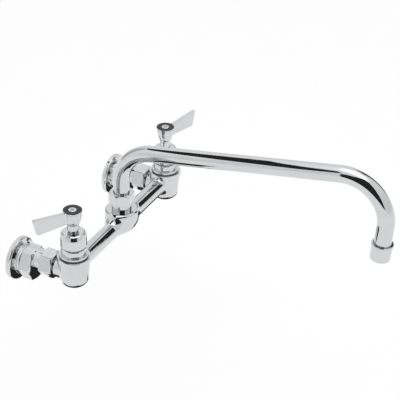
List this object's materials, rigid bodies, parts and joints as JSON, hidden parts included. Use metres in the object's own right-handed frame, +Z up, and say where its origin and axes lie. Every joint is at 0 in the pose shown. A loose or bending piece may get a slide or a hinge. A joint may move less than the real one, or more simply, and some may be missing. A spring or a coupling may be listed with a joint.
{
  "type": "wall-mounted kitchen faucet",
  "caption": "Wall-mounted bridge faucet with lever handles, eccentric unions and wall flanges, and a bent tube spout that swings and ends in an aerator.",
  "frame": {"origin": "on the wall plane, midway between the two supply pipes and level with them", "axes": "+Z up, +Y into the wall, -Y out into the room along the spout, X along the bridge bar"},
  "size_m": [0.2942, 0.3899, 0.1834],
  "materials": {
    "chrome": "polished chrome plate on brass",
    "brass": "turned brass, hidden inside",
    "rubber": "black seal rubber",
    "ceramic": null,
    "fibre": "dark fibre washer",
    "nylon": "white nylon bearing washer",
    "dark_ring": "dark glossy index ring",
    "insert": "grey aerator insert"
  },
  "bodies": {
    "base": {"faucet_body": "chrome", "spout_nut": "chrome", "left_tailpiece": "chrome", "left_coupling_washer": "rubber", "left_coupling_nut": "chrome", "left_eccentric_inlet": "chrome", "left_inlet_socket": "chrome", "left_wall_flange": "chrome", "left_seat_seal": "rubber", "left_lower_disc": "ceramic", "left_bonnet": "chrome", "left_bonnet_washer": "fibre", "left_bonnet_cap": "chrome", "right_tailpiece": "chrome", "right_coupling_washer": "rubber", "right_coupling_nut": "chrome", "right_eccentric_inlet": "chrome", "right_inlet_socket": "chrome", "right_wall_flange": "chrome", "right_seat_seal": "rubber", "right_lower_disc": "ceramic", "right_bonnet": "chrome", "right_bonnet_washer": "fibre", "right_bonnet_cap": "chrome"},
    "left_lever": {"left_lever_handle": "chrome", "left_index_ring": "dark_ring", "left_handle_screw": "chrome", "left_stem": "chrome", "left_stem_oring": "rubber", "left_upper_disc": "ceramic"},
    "right_lever": {"right_lever_handle": "chrome", "right_index_ring": "dark_ring", "right_handle_screw": "chrome", "right_stem": "chrome", "right_stem_oring": "rubber", "right_upper_disc": "ceramic"},
    "spout": {"spout_tube": "chrome", "spout_ferrule": "brass", "spout_oring_lower": "rubber", "spout_oring_upper": "rubber", "spout_washer": "nylon", "aerator_housing": "chrome", "aerator_washer": "rubber", "aerator_insert": "insert"}
  },
  "joints": [
    {"name": "left_lever_turn", "type": "hinge", "parent": "base", "child": "left_lever", "pos_m": [-0.1016, -0.073, 0.07], "axis": [0, 0, 1], "range_deg": [0, 90]},
    {"name": "right_lever_turn", "type": "hinge", "parent": "base", "child": "right_lever", "pos_m": [0.1016, -0.073, 0.07], "axis": [0, 0, 1], "range_deg": [-90, 0]},
    {"name": "spout_swing", "type": "hinge", "parent": "base", "child": "spout", "pos_m": [0, -0.073, 0.05], "axis": [0, 0, 1], "range_deg": [-90, 90]}
  ]
}
